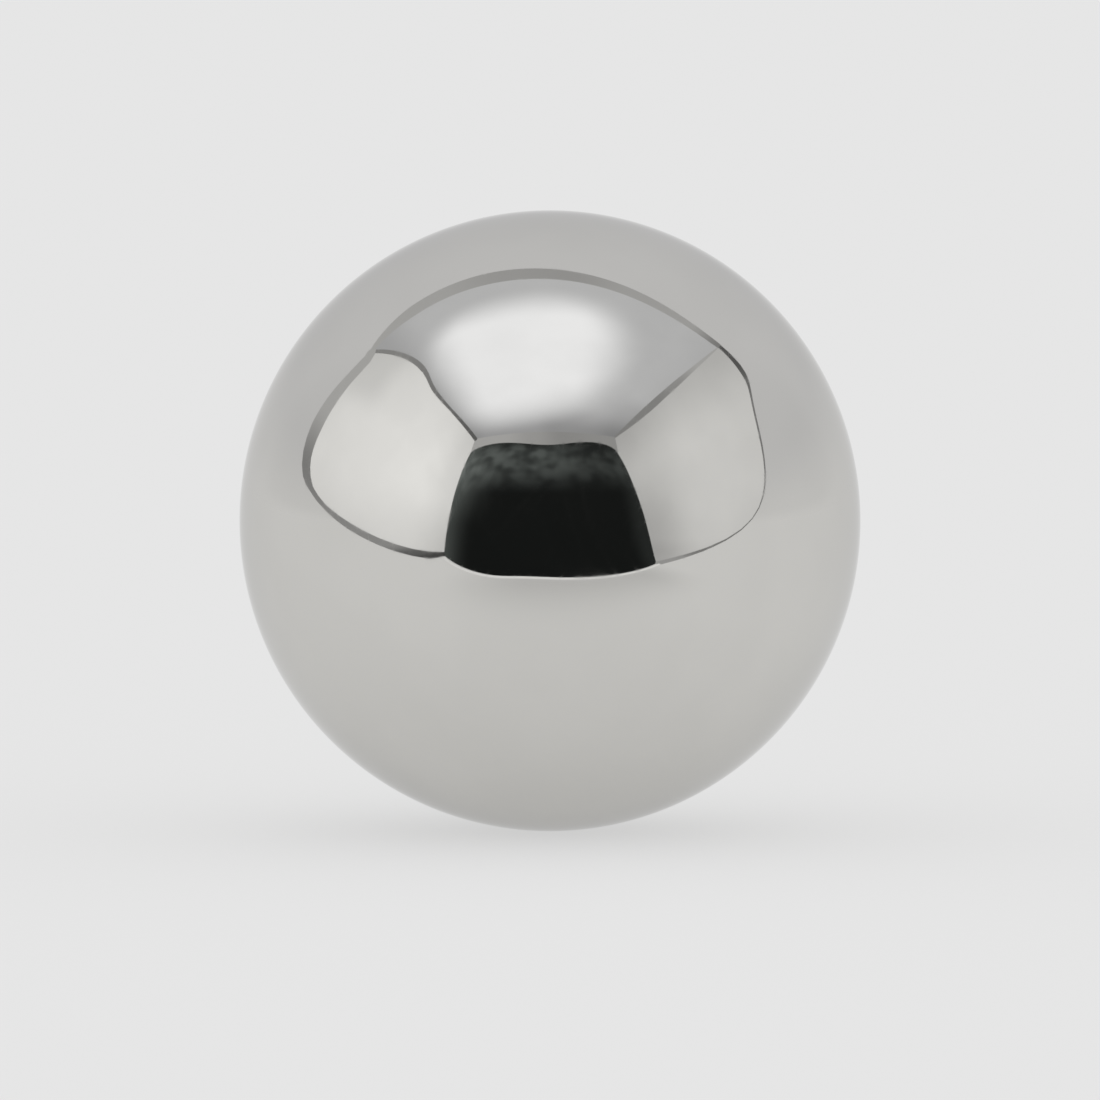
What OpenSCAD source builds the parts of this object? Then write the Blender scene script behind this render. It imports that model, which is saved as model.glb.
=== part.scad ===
// Steel ball: one solid ball of polished chrome steel, lapped to a true sphere all over.
// Units are millimetres. The origin is the ball's centre, and +Z is up.

/* [Ball] */
// Diameter of the ball
ball_d = 12.7; // [3.175:0.025:50.8]

/* [Preview] */
// Straight sides that stand for a great circle when OpenSCAD draws the ball
great_circle_sides = 192; // [48:16:256]

/* [Hidden] */

// The whole object: a plain sphere, with no flat, seam or hole.
module ball() {
    color("silver")
        sphere(d = ball_d, $fn = great_circle_sides);
}

ball();
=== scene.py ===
import math

import bmesh
import bpy
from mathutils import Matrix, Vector


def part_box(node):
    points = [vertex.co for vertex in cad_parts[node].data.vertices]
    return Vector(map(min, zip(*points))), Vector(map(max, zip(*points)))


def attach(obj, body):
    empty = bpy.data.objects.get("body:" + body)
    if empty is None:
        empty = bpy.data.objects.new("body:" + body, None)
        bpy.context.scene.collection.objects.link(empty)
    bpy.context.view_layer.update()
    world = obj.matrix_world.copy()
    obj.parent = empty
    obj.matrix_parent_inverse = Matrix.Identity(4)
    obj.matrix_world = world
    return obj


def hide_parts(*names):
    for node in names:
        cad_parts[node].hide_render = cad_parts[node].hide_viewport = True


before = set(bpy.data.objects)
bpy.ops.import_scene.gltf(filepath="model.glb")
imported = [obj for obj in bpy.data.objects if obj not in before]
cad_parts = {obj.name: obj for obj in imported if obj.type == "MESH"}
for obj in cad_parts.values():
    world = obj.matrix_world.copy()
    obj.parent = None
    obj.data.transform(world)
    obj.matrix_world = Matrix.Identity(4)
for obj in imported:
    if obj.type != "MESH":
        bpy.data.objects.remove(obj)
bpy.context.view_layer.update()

# All lengths are in metres, and all tones and levels in linear light. A ramp is (start, end), along which
# a factor goes smoothly from 0 to 1, or (start, end, factor at the start, factor at the end). A stop is
# (place, level).
X, Y, Z = 0, 1, 2  # axes

# The ball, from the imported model.
BALL_LOW, BALL_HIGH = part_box("ball")
CENTRE = (BALL_LOW + BALL_HIGH) / 2
RADIUS = (BALL_HIGH.z - BALL_LOW.z) / 2
FLOOR_Z = BALL_LOW.z
BALL_SIDES = 72  # quads along each edge of the cube that is blown up into the ball

# Polished chrome steel.
STEEL = (0.685, 0.676, 0.650)
STEEL_EDGE = 0.84  # how much of its shine is left where the surface turns away
MOTTLE = 0.012  # share by which the steel's tone drifts
MOTTLE_SIZE = 0.0026
MOTTLE_RAMP = (0.35, 0.65)  # over the noise
POLISH = 0.022  # roughness of the best polished patches
HAZE = 0.03  # roughness of the hazy patches
HAZE_SIZE = 0.0011
HAZE_RAMP = (0.4, 0.7, POLISH, HAZE)  # over the noise

# The hairline marks of lapping on it.
MARK_HAZE = 0.06  # their roughness
MARK_PITCH = 0.0005  # space between the marks of one direction, before most are masked
MARK_RAMP = (0.03, 0.0)  # over the noise's distance from its middle, along which each mark runs
MARK_PATCH = 0.0014  # size of the patches in which they show
MARK_PATCH_RAMP = (0.52, 0.64)  # over the noise
MARK_AXES = [
    (0.30, 0.52, 0.80), (-0.74, 0.22, 0.63), (0.58, -0.79, 0.21),
    (-0.12, -0.64, 0.76), (0.93, 0.17, -0.33), (-0.45, 0.80, -0.40),
]
NOISE_MIDDLE = 0.5

# The studio. PAGE is the plain grey of the floor and the backdrop.
PAGE = (0.79, 0.79, 0.79)
WHITE = (1.0, 1.0, 1.0)
DAYLIGHT = 1.0  # of the world, on everything that isn't a mirror
FLOOR_HALF = 3.0
FLOOR_GLOW = 0.67  # share of the floor's light that comes through it from below

# The backdrop as the ball mirrors it. Its ramps are over how far a direction points up or aside, out of 1.
BACKDROP_HIGH = (0.70, 0.70, 0.71)  # overhead
BACKDROP_RISE = (-0.02, 0.30)
BACKDROP_SIDES = 0.95  # its level at the far left and right
BACKDROP_ASIDE = (0.60, 0.92)
BACKDROP_ASIDE_RISE = (-0.02, 0.06)

# The camera stands in front of the ball and looks a little down on it.
CAMERA_ELEVATION = math.radians(4)
CAMERA_LENS = 400  # mm on a 36 mm sensor, which flattens the view as in a product shot
CAMERA_DISTANCE = 0.25
CAMERA_NEAREST = 0.01
CAMERA_FARTHEST = 10
AIM_DROP = 0.0006  # how far below the ball's centre the camera aims

# The light tent that the ball mirrors: its corners. It stands on the floor and is open at the front.
ROOF_Z = 0.0246
FRONT_Y = -0.036
ROOF_FRONT_LEFT = (-0.0202, FRONT_Y, ROOF_Z)
ROOF_FRONT_RIGHT = (0.0172, FRONT_Y, ROOF_Z)
ROOF_BACK_LEFT = (-0.0263, 0.0053, ROOF_Z)
ROOF_BACK_RIGHT = (0.0241, 0.0039, ROOF_Z)
MOUTH_TOP_LEFT = (-0.0207, FRONT_Y, 0.0202)
MOUTH_TOP_RIGHT = (0.0172, FRONT_Y, 0.0192)
MOUTH_FOOT_LEFT = (-0.0267, -0.0356, FLOOR_Z)
MOUTH_FOOT_RIGHT = (0.0205, -0.0277, FLOOR_Z)

# Its edges, which are Bezier curves from corner to corner. The points between the corners bend them.
LEFT_X = -0.026
RIGHT_X = 0.0245
EDGES = {
    "roof_left": [
        ROOF_FRONT_LEFT, (-0.0193, -0.0156, ROOF_Z), (-0.0259, -0.0086, ROOF_Z), (-0.0126, -0.0157, ROOF_Z),
        ROOF_BACK_LEFT,
    ],
    "roof_back": [ROOF_BACK_LEFT, (-0.0105, 0.0067, ROOF_Z), (0.0080, -0.0022, ROOF_Z), ROOF_BACK_RIGHT],
    "roof_right": [ROOF_FRONT_RIGHT, (0.0213, -0.019, ROOF_Z), ROOF_BACK_RIGHT],
    "mouth_top": [
        MOUTH_TOP_LEFT, (-0.0187, FRONT_Y, 0.0230), (-0.0005, FRONT_Y, 0.0252), (0, FRONT_Y, 0.0118),
        (0, FRONT_Y, 0.0252), (0.0168, FRONT_Y, 0.0237), MOUTH_TOP_RIGHT,
    ],
    "mouth_left": [MOUTH_TOP_LEFT, (-0.0227, FRONT_Y, 0.0150), (-0.0236, FRONT_Y, 0.0112), MOUTH_FOOT_LEFT],
    "mouth_right": [
        MOUTH_TOP_RIGHT, (0.0205, FRONT_Y, 0.0130), (0.0251, FRONT_Y, -0.0052), MOUTH_FOOT_RIGHT,
    ],
    "mouth_foot": [
        MOUTH_FOOT_LEFT, (0.0021, -0.0110, FLOOR_Z), (-0.0098, -0.0378, FLOOR_Z),
        (-0.0013, -0.0170, FLOOR_Z), MOUTH_FOOT_RIGHT,
    ],
    "left_rear": [
        ROOF_BACK_LEFT, (LEFT_X, 0.0004, 0.0232), (LEFT_X, 0.0084, -0.0074), (LEFT_X, 0.0041, 0.0121),
        (LEFT_X, -0.0049, -0.0034), MOUTH_FOOT_LEFT,
    ],
    "right_rear": [
        ROOF_BACK_RIGHT, (RIGHT_X, 0.0023, 0.0084), (RIGHT_X, -0.0006, 0.0256), (RIGHT_X, -0.0110, -0.0024),
        (RIGHT_X, 0.0070, 0.0043), MOUTH_FOOT_RIGHT,
    ],
}

# Its fabric. The walls are lit unevenly over their height and depth, and shaded towards one corner.
FABRIC_DRIFT = 0.015  # share by which the fabric's tone drifts
FABRIC_SIZE = 0.007
FABRIC_RAMP = (0.3, 0.7, 1 - FABRIC_DRIFT, 1 + FABRIC_DRIFT)  # over the noise
LEFT_WALL = {
    "by_height": [(-0.006, 0.85), (0.009, 1.065), (0.012, 1.065), (0.026, 0.96)],
    "by_depth": [(FRONT_Y, 0.85), (-0.023, 1.0), (0.010, 0.84)],
    "corner_y": (-0.0110, 0.0000),
    "corner_z": (0.013, 0.020),
    "corner_shade": 0.13,
}
RIGHT_WALL = {
    "by_height": [(-0.0045, 0.68), (-0.0010, 0.765), (0.006, 0.80), (0.013, 0.80), (ROOF_Z, 0.63)],
    "by_depth": [(FRONT_Y, 0.83), (-0.015, 1.02), (0.004, 0.95)],
    "corner_y": (-0.0135, -0.0320),
    "corner_z": (0.018, -0.002),
    "corner_shade": 0.18,
}
HEADER_BY_X = [(-0.012, 0.50), (-0.004, 0.42), (0.003, 0.34), (0.012, 0.36)]

# The lamp that shows through its roof. The ramps say how its light sets in from each side.
LAMP_TINT = (1.0, 1.01, 1.042)  # a little cooler than the walls
LAMP_LEVEL = 1.14
LAMP_LEFT = (-0.0214, -0.0110)
LAMP_RIGHT = (0.0152, 0.0037)
LAMP_FRONT = (-0.0365, -0.0223)
LAMP_BACK = (0.0000, -0.0066)
LAMP_BACK_LEFT = (0.0160, 0.0068)  # over y - x
LAMP_BACK_RIGHT = (0.0095, -0.0035)  # over y + x
LAMP_BEND_X = -0.012  # to the right of it, the front of the light bends back
LAMP_BEND = 17.0  # by this times the distance squared

# The roof without the lamp: its level, and the ramps of painted shade by which it gets darker near its left
# and right edges and in its front right corner.
ROOF_LEVEL = 0.63
ROOF_FRONT_LEVEL = 0.37
ROOF_FRONT_LEFT_GAIN = 1.18  # how much lighter the left half of the front is
ROOF_FRONT_Y = (-0.0355, -0.0245)
ROOF_FRONT_X = (-0.0045, 0.0015, ROOF_FRONT_LEVEL * ROOF_FRONT_LEFT_GAIN, ROOF_FRONT_LEVEL)
ROOF_CORNER_X = (0.0070, 0.0185)
ROOF_CORNER_Y = (-0.0180, -0.0270)
ROOF_CORNER_LEVEL = 0.80
ROOF_RIGHT_EDGE_SHADE = (0.0160, 0.0240, 1.0, 0.93)
ROOF_LEFT_EDGE_SHADE = (-0.0150, -0.0235, 1.0, 0.76)

# The dark room beyond its mouth: clouds near the top, and lighter margins at the left and right.
MOUTH_TINT = (0.90, 1.0, 0.97)
CLOUD_SIZE = 0.0036
CLOUD_RAMP = (0.3, 0.75, 0.03, 0.10)  # over the noise
CLOUDS_FOOT = (0.0069, 0.0149)
CLOUDS_TILT = 0.05  # slope of their foot
CLOUDS_TOP = (0.0240, 0.0170)
CLOUDS_ACROSS = (0.0115, -0.0060, 0.55, 1.2)
LEFT_MARGIN = (-0.0130, -0.0265, 0.011, 0.085)
LEFT_HAZE_X = (-0.0090, -0.0180)
LEFT_HAZE_Z = (0.0005, 0.0080, 0.0, 0.031)
RIGHT_MARGIN = (0.0145, 0.0200, 0.0, 0.015)

# A sheet of painted shade over the floor just inside its mouth, which gets a little less light.
DOORSTEP_LIFT = 0.0001
DOORSTEP_BACK = [(0.026, -0.028, FLOOR_Z), (0.026, -0.010, FLOOR_Z), (-0.020, -0.010, FLOOR_Z)]
DOORSTEP_DEPTH = (-0.0110, -0.0230, 0.0, 0.20)  # to the share of the light that is missing
DOORSTEP_LEFT = (-0.0160, -0.0020)
DOORSTEP_RIGHT = (0.0215, 0.0130)

# Its poles and seams, which follow its edges. They are partly the tent's dark poles and seams and partly
# painted shade beside them, which widens some of them, as along the right seam and at the right rear pole's
# foot. The level of each goes through its stops along an axis, and its radii are spread evenly from end to
# end.
POLES = [
    {
        "name": "pole_left_rear",
        "edge": "left_rear",
        "material": "left_pole",
        "axis": Z,
        "stops": [
            (-0.0062, 0.04), (-0.0046, 0.12), (-0.0026, 0.33),
            (0.0005, 0.32), (0.0055, 0.27), (0.0125, 0.50),
        ],
        "radii": [
            0.0011, 0.0014, 0.0013, 0.0015, 0.0016, 0.0013, 0.0009,
            0.00036, 0.0003, 0.00045, 0.00055, 0.0007, 0.0009,
        ],
    },
    {
        "name": "pole_roof_left",
        "edge": "roof_left",
        "material": "left_seam",
        "axis": Y,
        "stops": [(-0.036, 0.14), (0.0, 0.30)],
        "radii": [0.0007, 0.00038, 0.00052, 0.00054, 0.0005, 0.0004],
    },
    {
        "name": "pole_roof_back",
        "edge": "roof_back",
        "material": "back_pole",
        "axis": X,
        "stops": [
            (-0.012, 0.49), (-0.004, 0.42), (0.002, 0.40),
            (0.009, 0.47), (0.017, 0.47), (0.0235, 0.27),
        ],
        "radii": [0.0006, 0.0015, 0.0014, 0.0011, 0.0009, 0.0007],
    },
    {
        "name": "pole_roof_right",
        "edge": "roof_right",
        "material": "right_seam",
        "axis": Y,
        "stops": [(-0.034, 0.28), (-0.019, 0.30), (-0.012, 0.36), (-0.005, 0.50)],
        "radii": [0.0003, 0.0006, 0.00085, 0.00095, 0.0009, 0.00075, 0.0005, 0.0003, 0.0001],
    },
    {
        "name": "pole_right_rear",
        "edge": "right_rear",
        "material": "right_pole",
        "axis": Z,
        "stops": [(-0.0050, 0.40), (-0.0030, 0.24), (0.014, 0.24), (0.020, 0.12)],
        "radii": [
            0.0006, 0.0007, 0.0003, 0.0002, 0.0002, 0.0002,
            0.00015, 0.0001, 0.00006, 0.00012, 0.0004,
        ],
    },
]

# A painted highlight: a bright glowing line along the mouth's foot.
FOOT_HIGHLIGHT_LEVEL = 0.92
FOOT_HIGHLIGHT_RADII = [0.0001, 0.0003, 0.0003, 0.0002]
FOOT_HIGHLIGHT_SET_BACK = 0.0010


# --- meshes ------------------------------------------------------------------------------------


def link_object(name, data):
    """A new object in the scene. Returns it."""
    made = bpy.data.objects.new(name, data)
    bpy.context.scene.collection.objects.link(made)
    return made


def sheet(name, points, faces, material):
    """A mesh object from points and faces. Returns it."""
    mesh = bpy.data.meshes.new(name)
    mesh.from_pydata([tuple(point) for point in points], [], faces)
    mesh.materials.append(material)
    return link_object(name, mesh)


def panel(name, outline, material):
    """A flat or gently curved sheet inside an outline."""
    return sheet(name, outline, [tuple(range(len(outline)))], material)


def patch(name, foot, top, left, right, material):
    """A smooth sheet between four edges with equal numbers of points. They run to the right or up."""
    count = len(foot)
    points = []
    for row in range(count):
        up = row / (count - 1)
        for column in range(count):
            across = column / (count - 1)
            between = foot[column].lerp(top[column], up) + left[row].lerp(right[row], across)
            straight = foot[0].lerp(foot[-1], across).lerp(top[0].lerp(top[-1], across), up)
            points.append(between - straight)
    starts = [row * count + column for row in range(count - 1) for column in range(count - 1)]
    return sheet(name, points, [(i, i + 1, i + count + 1, i + count) for i in starts], material)


def bezier(pulls, steps=24):
    """Points along the Bezier curve from the first pull to the last, bent by those between."""
    points = []
    for i in range(steps + 1):
        rest = [Vector(pull) for pull in pulls]
        while len(rest) > 1:
            rest = [a.lerp(b, i / steps) for a, b in zip(rest, rest[1:])]
        points.append(rest[0])
    return points


def shifted(points, by):
    return [Vector(point) + Vector(by) for point in points]


def between_values(values, share):
    """The value at a share of the way, 0 to 1, along values that are spread evenly."""
    spot = share * (len(values) - 1)
    before = min(int(spot), len(values) - 2)
    return values[before] + (values[before + 1] - values[before]) * (spot - before)


# --- shader nodes ------------------------------------------------------------------------------


def new_material(name, shader_type):
    """A material with one shader. Returns the material, its tree and the shader."""
    material = bpy.data.materials.new(name)
    material.use_nodes = True
    tree = material.node_tree
    tree.nodes.clear()
    out = tree.nodes.new("ShaderNodeOutputMaterial")
    shader = tree.nodes.new(shader_type)
    tree.links.new(shader.outputs[0], out.inputs["Surface"])
    return material, tree, shader


def feed(tree, socket, value):
    """Puts a number on a socket, or links another socket to it."""
    if isinstance(value, (int, float)):
        socket.default_value = value
    else:
        tree.links.new(value, socket)


def math_node(tree, operation, a, b=0.0):
    node = tree.nodes.new("ShaderNodeMath")
    node.operation = operation
    feed(tree, node.inputs[0], a)
    feed(tree, node.inputs[1], b)
    return node.outputs[0]


def product(tree, *values):
    result = values[0]
    for value in values[1:]:
        result = math_node(tree, "MULTIPLY", result, value)
    return result


def total(tree, *values):
    result = values[0]
    for value in values[1:]:
        result = math_node(tree, "ADD", result, value)
    return result


def vector_node(tree, operation, a, b):
    """A Vector Math node on a socket and a constant. Returns the node."""
    node = tree.nodes.new("ShaderNodeVectorMath")
    node.operation = operation
    tree.links.new(a, node.inputs[0])
    node.inputs[1].default_value = b
    return node


def smooth_step(tree, value, low, high, to_low=0.0, to_high=1.0):
    """A smooth ramp of value, from to_low at low to to_high at high."""
    node = tree.nodes.new("ShaderNodeMapRange")
    node.interpolation_type = "SMOOTHSTEP"
    feed(tree, node.inputs["Value"], value)
    feed(tree, node.inputs["From Min"], low)
    feed(tree, node.inputs["From Max"], high)
    feed(tree, node.inputs["To Min"], to_low)
    feed(tree, node.inputs["To Max"], to_high)
    return node.outputs["Result"]


def fade(tree, share, level):
    """A factor that goes smoothly from 1 to a level as the share goes from 0 to 1."""
    return smooth_step(tree, share, 0.0, 1.0, 1.0, level)


def by_stops(tree, value, stops):
    """A level that follows a value through its stops with soft bends."""
    level = stops[0][1]
    for (low, from_level), (high, to_level) in zip(stops, stops[1:]):
        rise = smooth_step(tree, value, low, high, 0.0, to_level - from_level)
        level = math_node(tree, "ADD", level, rise)
    return level


def mixed_colours(tree, share, first, second):
    node = tree.nodes.new("ShaderNodeMix")
    node.data_type = "RGBA"
    node.inputs["A"].default_value = (*first, 1)
    node.inputs["B"].default_value = (*second, 1)
    feed(tree, node.inputs["Factor"], share)
    return node.outputs["Result"]


def noise(tree, place, size, detail=2.0):
    """Noise from 0 to 1, with features of about the given size. Returns the node."""
    node = tree.nodes.new("ShaderNodeTexNoise")
    node.inputs["Scale"].default_value = 1 / size
    node.inputs["Detail"].default_value = detail
    tree.links.new(place, node.inputs["Vector"])
    return node


def noise_ramp(tree, place, size, ramp, detail=2.0):
    """Noise put through a ramp."""
    return smooth_step(tree, noise(tree, place, size, detail).outputs[0], *ramp)


def line_noise(tree, along, size):
    """Noise along one number, from 0 to 1."""
    node = tree.nodes.new("ShaderNodeTexNoise")
    node.noise_dimensions = "1D"
    node.inputs["Scale"].default_value = 1 / size
    node.inputs["Detail"].default_value = 0.0
    tree.links.new(along, node.inputs["W"])
    return node.outputs[0]


def object_place(tree):
    """The place on the object, in metres."""
    return tree.nodes.new("ShaderNodeTexCoord").outputs["Object"]


def split_axes(tree, place):
    node = tree.nodes.new("ShaderNodeSeparateXYZ")
    tree.links.new(place, node.inputs[0])
    return node.outputs


# --- the ball ----------------------------------------------------------------------------------


def onto_ball(point):
    """A point of a cube of half-width 1, moved onto the ball so that all quads come out about one size."""
    spread = Vector([math.tan(c * math.pi / 4) for c in point])
    return CENTRE + spread.normalized() * RADIUS


def ball_mesh():
    mesh = bpy.data.meshes.new("steel_ball")
    grid = bmesh.new()
    bmesh.ops.create_cube(grid, size=2)
    bmesh.ops.subdivide_edges(grid, edges=grid.edges[:], cuts=BALL_SIDES - 1, use_grid_fill=True)
    for vertex in grid.verts:
        vertex.co = onto_ball(vertex.co)
    for face in grid.faces:
        face.smooth = True
    grid.to_mesh(mesh)
    grid.free()
    return mesh


def mark_masks(tree, place):
    """Noise for each direction of the lapping marks, which says where they show."""
    masks = []
    for shift in (0.0, 1.0):
        moved = vector_node(tree, "ADD", place, (shift, shift, shift)).outputs["Vector"]
        split = tree.nodes.new("ShaderNodeSeparateColor")
        tree.links.new(noise(tree, moved, MARK_PATCH, detail=0.0).outputs["Color"], split.inputs[0])
        masks += list(split.outputs)
    return masks


def lapping_marks(tree, place):
    """Sparse hairline arcs in several directions, 0 to 1, as the lapping plates leave them."""
    marks = 0.0
    for axis, mask in zip(MARK_AXES, mark_masks(tree, place)):
        along = vector_node(tree, "DOT_PRODUCT", place, Vector(axis).normalized()).outputs["Value"]
        off = math_node(tree, "SUBTRACT", line_noise(tree, along, MARK_PITCH), NOISE_MIDDLE)
        line = smooth_step(tree, math_node(tree, "ABSOLUTE", off), *MARK_RAMP)
        line = product(tree, line, smooth_step(tree, mask, *MARK_PATCH_RAMP))
        marks = math_node(tree, "MAXIMUM", marks, line)
    return marks


def steel_material():
    """Mirror-polished steel: its tone drifts a little, and the polish has faint haze and lapping marks."""
    material, tree, steel = new_material("polished_steel", "ShaderNodeBsdfPrincipled")
    steel.inputs["Metallic"].default_value = 1.0
    steel.inputs["Specular Tint"].default_value = (STEEL_EDGE, STEEL_EDGE, STEEL_EDGE, 1)
    place = object_place(tree)

    drift = noise_ramp(tree, place, MOTTLE_SIZE, MOTTLE_RAMP)
    darker = [c * (1 - MOTTLE) for c in STEEL]
    lighter = [c * (1 + MOTTLE) for c in STEEL]
    feed(tree, steel.inputs["Base Color"], mixed_colours(tree, drift, darker, lighter))

    haze = noise_ramp(tree, place, HAZE_SIZE, HAZE_RAMP)
    marks = product(tree, lapping_marks(tree, place), MARK_HAZE - HAZE)
    feed(tree, steel.inputs["Roughness"], total(tree, haze, marks))
    return material


def make_ball():
    ball = link_object("steel_ball", ball_mesh())
    ball.data.materials.append(steel_material())
    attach(ball, "root")
    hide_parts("ball")


# --- the floor and the light -------------------------------------------------------------------


def floor_material():
    """A matte pale sheet that some light comes through, so that shadows on it stay soft."""
    material, tree, mix = new_material("matte_floor", "ShaderNodeMixShader")
    matte = tree.nodes.new("ShaderNodeBsdfDiffuse")
    matte.inputs["Color"].default_value = (*PAGE, 1)
    glow = tree.nodes.new("ShaderNodeEmission")
    glow.inputs["Color"].default_value = (*PAGE, 1)
    mix.inputs[0].default_value = FLOOR_GLOW
    tree.links.new(matte.outputs[0], mix.inputs[1])
    tree.links.new(glow.outputs[0], mix.inputs[2])
    return material


def make_floor():
    corners = [(-1, -1), (1, -1), (1, 1), (-1, 1)]
    outline = [(x * FLOOR_HALF, y * FLOOR_HALF, FLOOR_Z) for x, y in corners]
    panel("floor", outline, floor_material())


def background(tree, colour, strength=1.0):
    node = tree.nodes.new("ShaderNodeBackground")
    if isinstance(colour, tuple):
        node.inputs["Color"].default_value = (*colour, 1)
    else:
        tree.links.new(colour, node.inputs["Color"])
    feed(tree, node.inputs["Strength"], strength)
    return node


def mixed_backgrounds(tree, share, first, second):
    mix = tree.nodes.new("ShaderNodeMixShader")
    feed(tree, mix.inputs[0], share)
    tree.links.new(first.outputs[0], mix.inputs[1])
    tree.links.new(second.outputs[0], mix.inputs[2])
    return mix


def mirrored_backdrop(tree):
    """The page's grey low down, a little darker overhead and at the sides."""
    x, _, height = split_axes(tree, tree.nodes.new("ShaderNodeTexCoord").outputs["Generated"])
    colour = mixed_colours(tree, smooth_step(tree, height, *BACKDROP_RISE), PAGE, BACKDROP_HIGH)
    aside = smooth_step(tree, math_node(tree, "ABSOLUTE", x), *BACKDROP_ASIDE)
    aside = product(tree, aside, smooth_step(tree, height, *BACKDROP_ASIDE_RISE))
    return background(tree, colour, fade(tree, aside, BACKDROP_SIDES))


def make_world():
    """The page's grey for the camera, the backdrop for mirrors, and plain even light for the rest."""
    world = bpy.data.worlds.new("studio")
    world.use_nodes = True
    bpy.context.scene.world = world
    tree = world.node_tree
    tree.nodes.clear()
    out = tree.nodes.new("ShaderNodeOutputWorld")
    rays = tree.nodes.new("ShaderNodeLightPath").outputs
    mirrored = math_node(tree, "MAXIMUM", rays["Is Glossy Ray"], rays["Is Transmission Ray"])
    lit = mixed_backgrounds(tree, mirrored, background(tree, WHITE, DAYLIGHT), mirrored_backdrop(tree))
    seen = mixed_backgrounds(tree, rays["Is Camera Ray"], lit, background(tree, PAGE))
    tree.links.new(seen.outputs[0], out.inputs["Surface"])


# --- the light tent: its materials -------------------------------------------------------------


def plain_glow(name, level):
    """A material that glows at one level."""
    material, _, light = new_material(name, "ShaderNodeEmission")
    light.inputs["Color"].default_value = (level, level, level, 1)
    return material


def graded_glow(name, axis, stops):
    """A material whose glow changes along an axis."""
    material, tree, light = new_material(name, "ShaderNodeEmission")
    along = split_axes(tree, object_place(tree))[axis]
    feed(tree, light.inputs["Strength"], by_stops(tree, along, stops))
    return material


def fabric_drift(tree, place):
    """A factor near 1 for the fabric's unevenness."""
    return noise_ramp(tree, place, FABRIC_SIZE, FABRIC_RAMP)


def wall_glow(name, by_height, by_depth, corner_y, corner_z, corner_shade):
    """A side wall's fabric, lit unevenly over its height and its depth, and darker towards one corner."""
    material, tree, light = new_material(name, "ShaderNodeEmission")
    place = object_place(tree)
    _, y, z = split_axes(tree, place)
    corner = product(tree, smooth_step(tree, y, *corner_y), smooth_step(tree, z, *corner_z))
    level = product(
        tree,
        by_stops(tree, z, by_height),
        by_stops(tree, y, by_depth),
        fade(tree, corner, 1.0 - corner_shade),
        fabric_drift(tree, place),
    )
    feed(tree, light.inputs["Strength"], level)
    return material


def lamp_share(tree, x, y):
    """How much of the lamp shows through the roof, 0 to 1: a hot spot with soft edges and a bent front."""
    right = math_node(tree, "MAXIMUM", math_node(tree, "SUBTRACT", x, LAMP_BEND_X), 0.0)
    bend = product(tree, right, right, LAMP_BEND)
    return product(
        tree,
        smooth_step(tree, x, *LAMP_LEFT),
        smooth_step(tree, x, *LAMP_RIGHT),
        smooth_step(tree, math_node(tree, "SUBTRACT", y, bend), *LAMP_FRONT),
        smooth_step(tree, y, *LAMP_BACK),
        smooth_step(tree, math_node(tree, "SUBTRACT", y, x), *LAMP_BACK_LEFT),
        smooth_step(tree, math_node(tree, "ADD", y, x), *LAMP_BACK_RIGHT),
    )


def roof_base(tree, x, y):
    """The roof's level without the lamp, with painted shade near its left and right edges and in its front
    right corner.
    """
    front_level = smooth_step(tree, x, *ROOF_FRONT_X)
    corner = product(tree, smooth_step(tree, x, *ROOF_CORNER_X), smooth_step(tree, y, *ROOF_CORNER_Y))
    return product(
        tree,
        smooth_step(tree, y, *ROOF_FRONT_Y, front_level, ROOF_LEVEL),
        fade(tree, corner, ROOF_CORNER_LEVEL),
        smooth_step(tree, x, *ROOF_RIGHT_EDGE_SHADE),
        smooth_step(tree, x, *ROOF_LEFT_EDGE_SHADE),
    )


def roof_glow():
    """The roof's fabric, with the lamp that shows through it."""
    material, tree, light = new_material("tent_roof", "ShaderNodeEmission")
    light.inputs["Color"].default_value = (*LAMP_TINT, 1)
    place = object_place(tree)
    x, y, _ = split_axes(tree, place)
    base = roof_base(tree, x, y)
    lamp = product(tree, lamp_share(tree, x, y), math_node(tree, "SUBTRACT", LAMP_LEVEL, base))
    level = product(tree, total(tree, base, lamp), fabric_drift(tree, place))
    feed(tree, light.inputs["Strength"], level)
    return material


def mouth_glow():
    """The dark room beyond the mouth, with clouds near the top and lighter margins."""
    material, tree, light = new_material("tent_mouth", "ShaderNodeEmission")
    light.inputs["Color"].default_value = (*MOUTH_TINT, 1)
    place = object_place(tree)
    x, _, z = split_axes(tree, place)
    tilted = math_node(tree, "SUBTRACT", z, math_node(tree, "MULTIPLY", x, CLOUDS_TILT))
    clouds = product(
        tree,
        smooth_step(tree, tilted, *CLOUDS_FOOT),
        smooth_step(tree, z, *CLOUDS_TOP),
        smooth_step(tree, x, *CLOUDS_ACROSS),
        noise_ramp(tree, place, CLOUD_SIZE, CLOUD_RAMP, detail=1.0),
    )
    level = total(
        tree,
        clouds,
        smooth_step(tree, x, *LEFT_MARGIN),
        product(tree, smooth_step(tree, x, *LEFT_HAZE_X), smooth_step(tree, z, *LEFT_HAZE_Z)),
        smooth_step(tree, x, *RIGHT_MARGIN),
    )
    feed(tree, light.inputs["Strength"], level)
    return material


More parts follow.
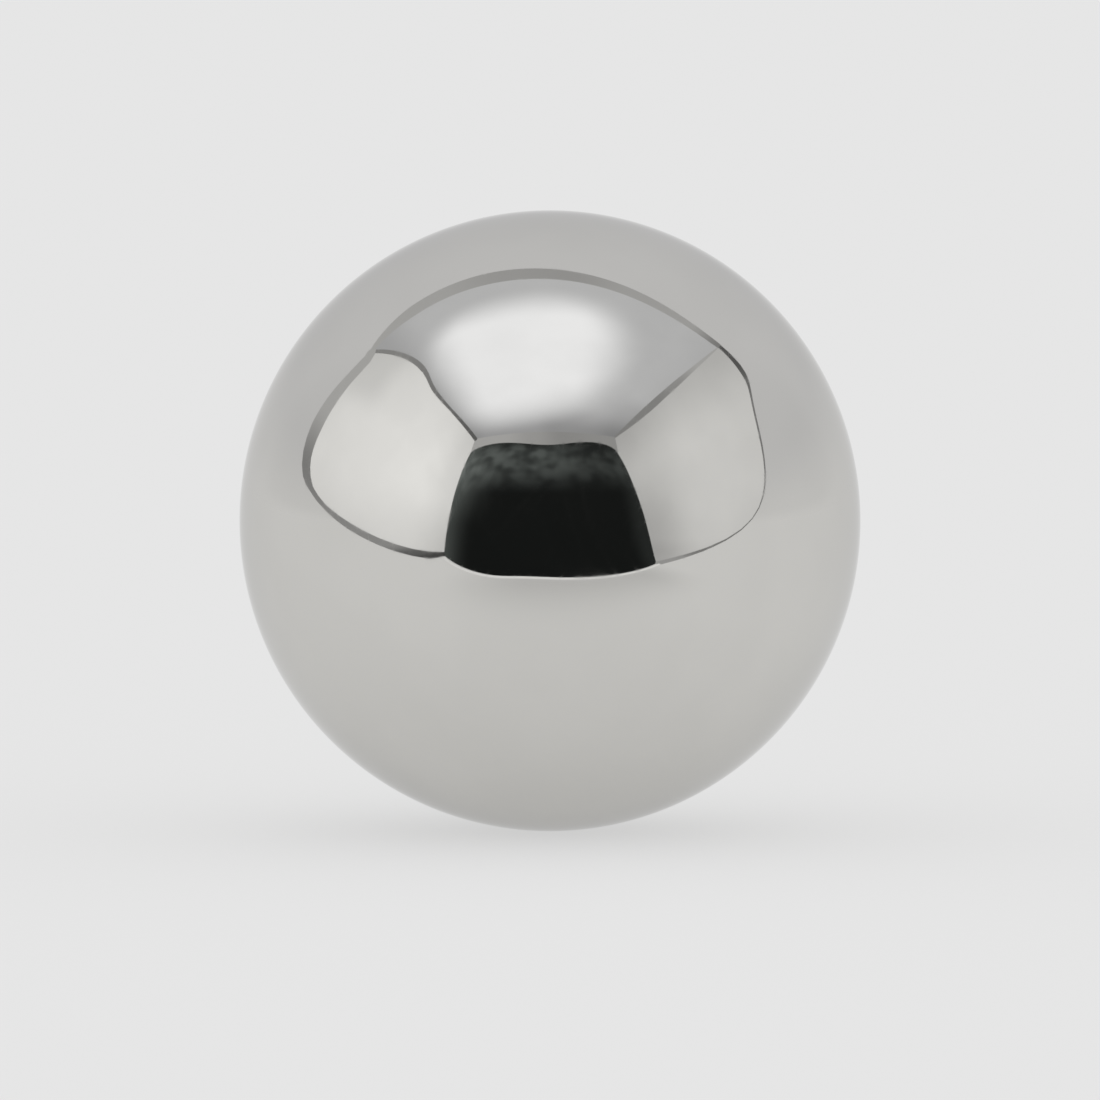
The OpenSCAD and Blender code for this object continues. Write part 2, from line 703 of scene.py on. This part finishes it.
def doorstep_shade():
    """Painted shade: clear, but dark by the share of the light that is missing just inside the mouth."""
    material, tree, mix = new_material("doorstep_painted_shade", "ShaderNodeMixShader")
    x, y, _ = split_axes(tree, object_place(tree))
    dark = tree.nodes.new("ShaderNodeEmission")
    dark.inputs["Strength"].default_value = 0.0
    shade = product(
        tree,
        smooth_step(tree, y, *DOORSTEP_DEPTH),
        smooth_step(tree, x, *DOORSTEP_LEFT),
        smooth_step(tree, x, *DOORSTEP_RIGHT),
    )
    feed(tree, mix.inputs[0], shade)
    tree.links.new(tree.nodes.new("ShaderNodeBsdfTransparent").outputs[0], mix.inputs[1])
    tree.links.new(dark.outputs[0], mix.inputs[2])
    return material


# --- the light tent: its pieces ----------------------------------------------------------------


def only_in_mirrors(item):
    """It shows in the ball, but not to the camera, and neither lights nor shades the floor."""
    item.visible_camera = False
    item.visible_diffuse = False
    item.visible_shadow = False
    item.visible_volume_scatter = False


def rod(name, points, radii, material):
    """A round rod along the points, such as a pole or the painted highlight line. Its radii are spread
    evenly along it.
    """
    curve = bpy.data.curves.new(name, "CURVE")
    curve.dimensions = "3D"
    curve.bevel_depth = 1.0
    spline = curve.splines.new("POLY")
    spline.points.add(len(points) - 1)
    for i, point in enumerate(points):
        spline.points[i].co = (*point, 1)
        spline.points[i].radius = between_values(radii, i / (len(points) - 1))
    curve.materials.append(material)
    only_in_mirrors(link_object(name, curve))


def make_roof(edges):
    outline = edges["roof_left"] + edges["roof_back"][1:] + edges["roof_right"][-2::-1]
    only_in_mirrors(panel("tent_roof", outline, roof_glow()))


def make_wall(edges, side, look):
    """A side wall between the roof, its rear pole and the mouth."""
    name = "tent_" + side
    outline = edges["roof_" + side] + edges[side + "_rear"][1:] + edges["mouth_" + side][-2::-1]
    only_in_mirrors(panel(name, outline, wall_glow(name, **look)))


def make_header(edges):
    """The strip between the roof's front and the mouth's top."""
    outline = [ROOF_FRONT_LEFT, ROOF_FRONT_RIGHT] + edges["mouth_top"][::-1]
    only_in_mirrors(panel("tent_header", outline, graded_glow("tent_header", X, HEADER_BY_X)))


def make_mouth(edges):
    foot = edges["mouth_foot"]
    left = edges["mouth_left"][::-1]
    right = edges["mouth_right"][::-1]
    only_in_mirrors(patch("tent_mouth", foot, edges["mouth_top"], left, right, mouth_glow()))


# A sheet of painted shade, seen only in the ball, over the floor just inside the mouth.
def make_doorstep(edges):
    outline = shifted(edges["mouth_foot"] + DOORSTEP_BACK, (0, 0, DOORSTEP_LIFT))
    only_in_mirrors(panel("doorstep_painted_shade", outline, doorstep_shade()))


def make_pole(edges, name, edge, material, axis, stops, radii):
    rod(name, edges[edge], radii, graded_glow(material, axis, stops))


# A painted highlight: a thin bright glowing rod along the mouth's foot, seen only in the ball.
def make_foot_highlight(edges):
    points = shifted(edges["mouth_foot"], (0, FOOT_HIGHLIGHT_SET_BACK, 0))
    rod("painted_highlight_foot", points, FOOT_HIGHLIGHT_RADII, plain_glow("painted_highlight", FOOT_HIGHLIGHT_LEVEL))


def make_tent():
    edges = {name: bezier(pulls) for name, pulls in EDGES.items()}
    make_roof(edges)
    make_wall(edges, "left", LEFT_WALL)
    make_wall(edges, "right", RIGHT_WALL)
    make_header(edges)
    make_mouth(edges)
    make_doorstep(edges)
    for pole in POLES:
        make_pole(edges, **pole)
    make_foot_highlight(edges)


# --- the camera --------------------------------------------------------------------------------


def make_camera():
    camera = link_object("camera", bpy.data.cameras.new("camera"))
    camera.data.lens = CAMERA_LENS
    camera.data.clip_start = CAMERA_NEAREST
    camera.data.clip_end = CAMERA_FARTHEST
    towards = Vector((0, -math.cos(CAMERA_ELEVATION), math.sin(CAMERA_ELEVATION)))
    aim = CENTRE - Vector((0, 0, AIM_DROP))
    camera.location = aim + towards * CAMERA_DISTANCE
    camera.rotation_euler = (-towards).to_track_quat("-Z", "Y").to_euler()
    bpy.context.scene.camera = camera


bpy.context.scene.view_settings.view_transform = "Standard"
make_ball()
make_floor()
make_world()
make_tent()
make_camera()
